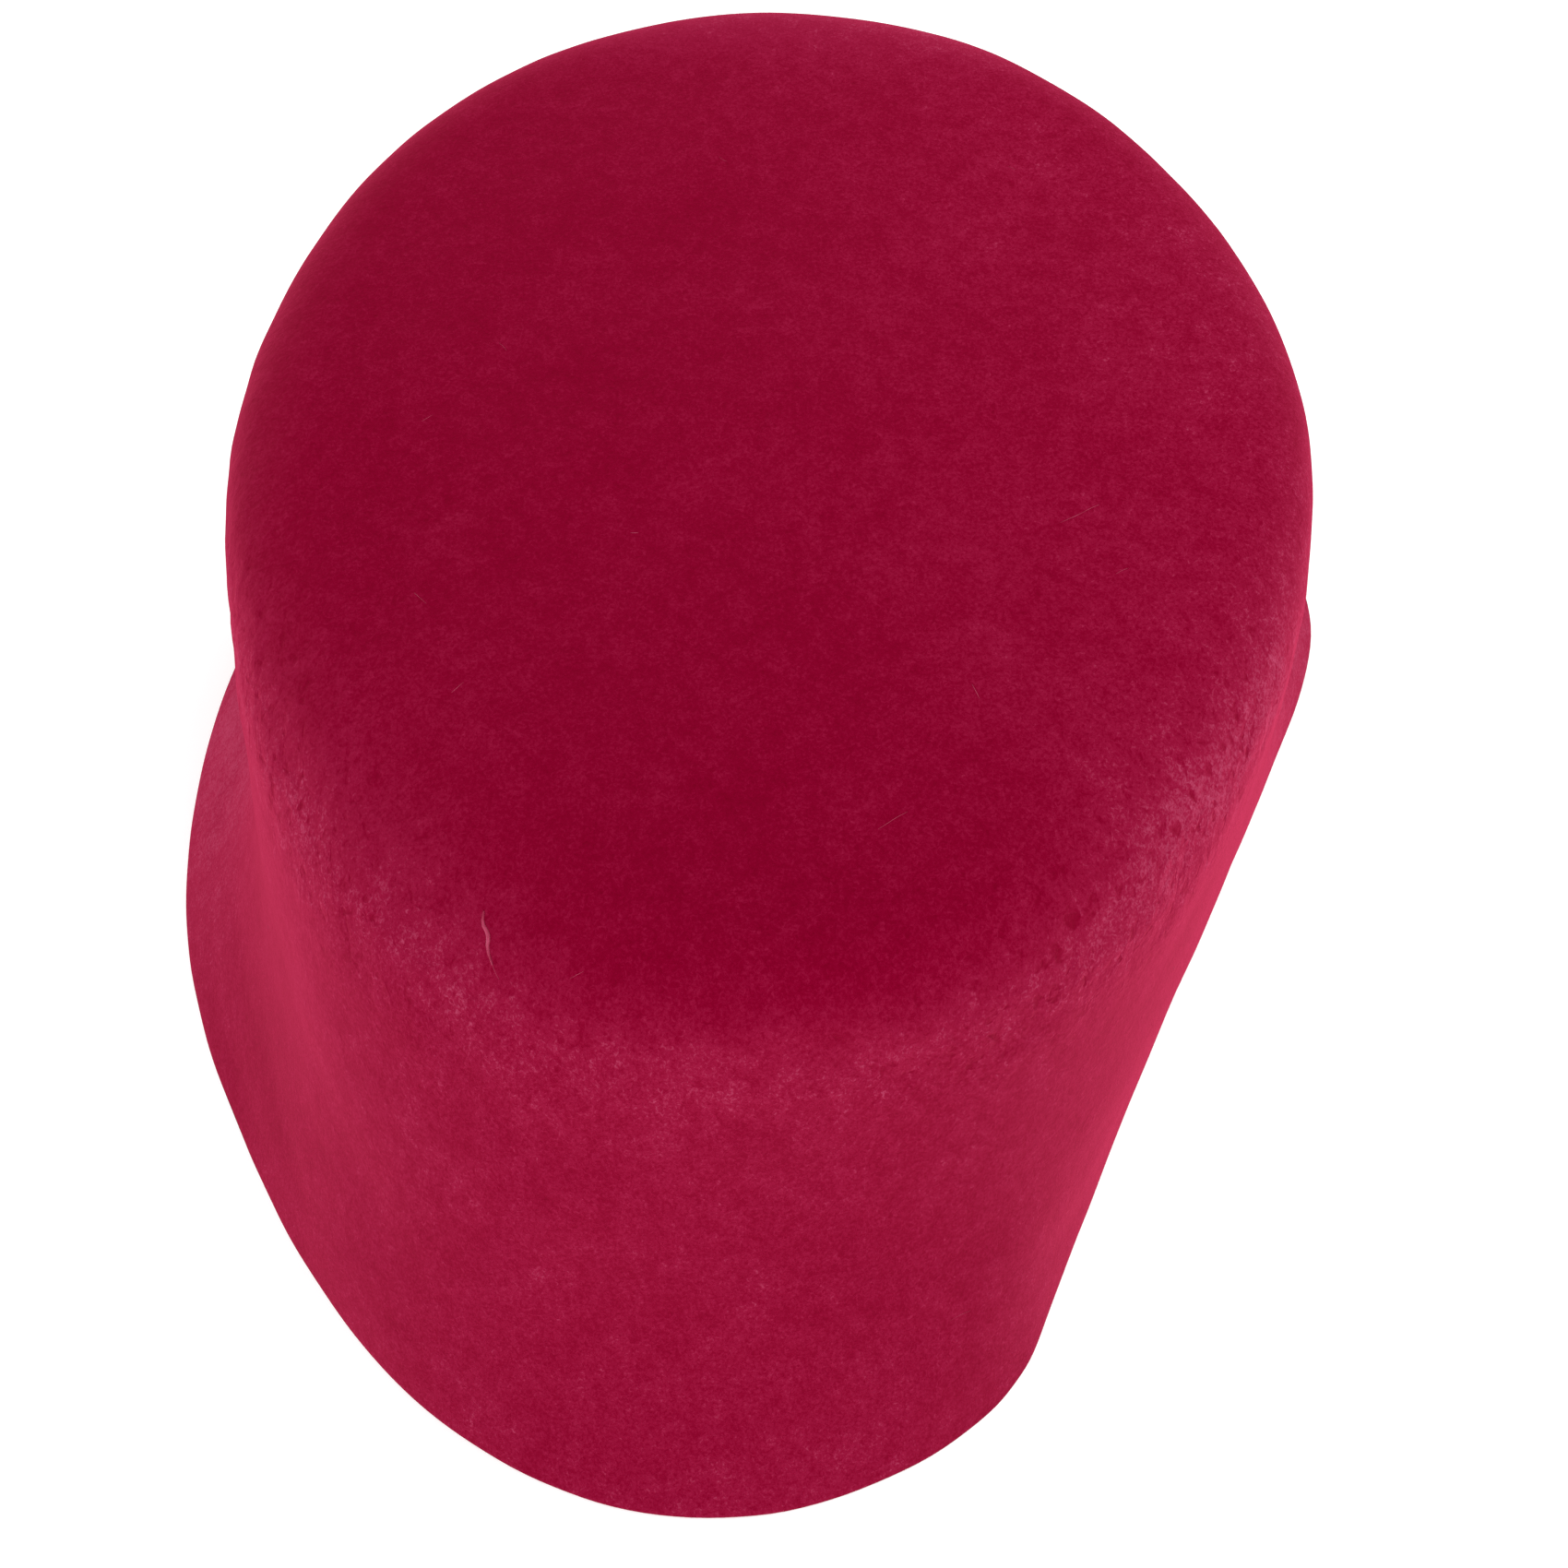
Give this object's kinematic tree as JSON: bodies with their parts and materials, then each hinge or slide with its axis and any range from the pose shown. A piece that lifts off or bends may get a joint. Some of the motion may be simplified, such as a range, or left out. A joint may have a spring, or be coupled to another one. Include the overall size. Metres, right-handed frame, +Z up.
{
  "type": "felt bucket hat",
  "caption": "Seamless felt bucket hat: flat oval tip with a soft edge, a flaring wall and a short turned-down brim, open below for the head.",
  "frame": {"origin": "middle of the hat's box, at the height of the surface that the rim rests on", "axes": "+Z up out of the tip, -Y towards the front, where the brim reaches furthest, +X to the side where the brim is turned straight down"},
  "size_m": [0.2302, 0.2662, 0.124],
  "materials": {
    "felt": "crimson wool felt with a short soft nap, matt, paler where it is seen edge on"
  },
  "bodies": {
    "root": {"felt_body": "felt"}
  },
  "joints": []
}
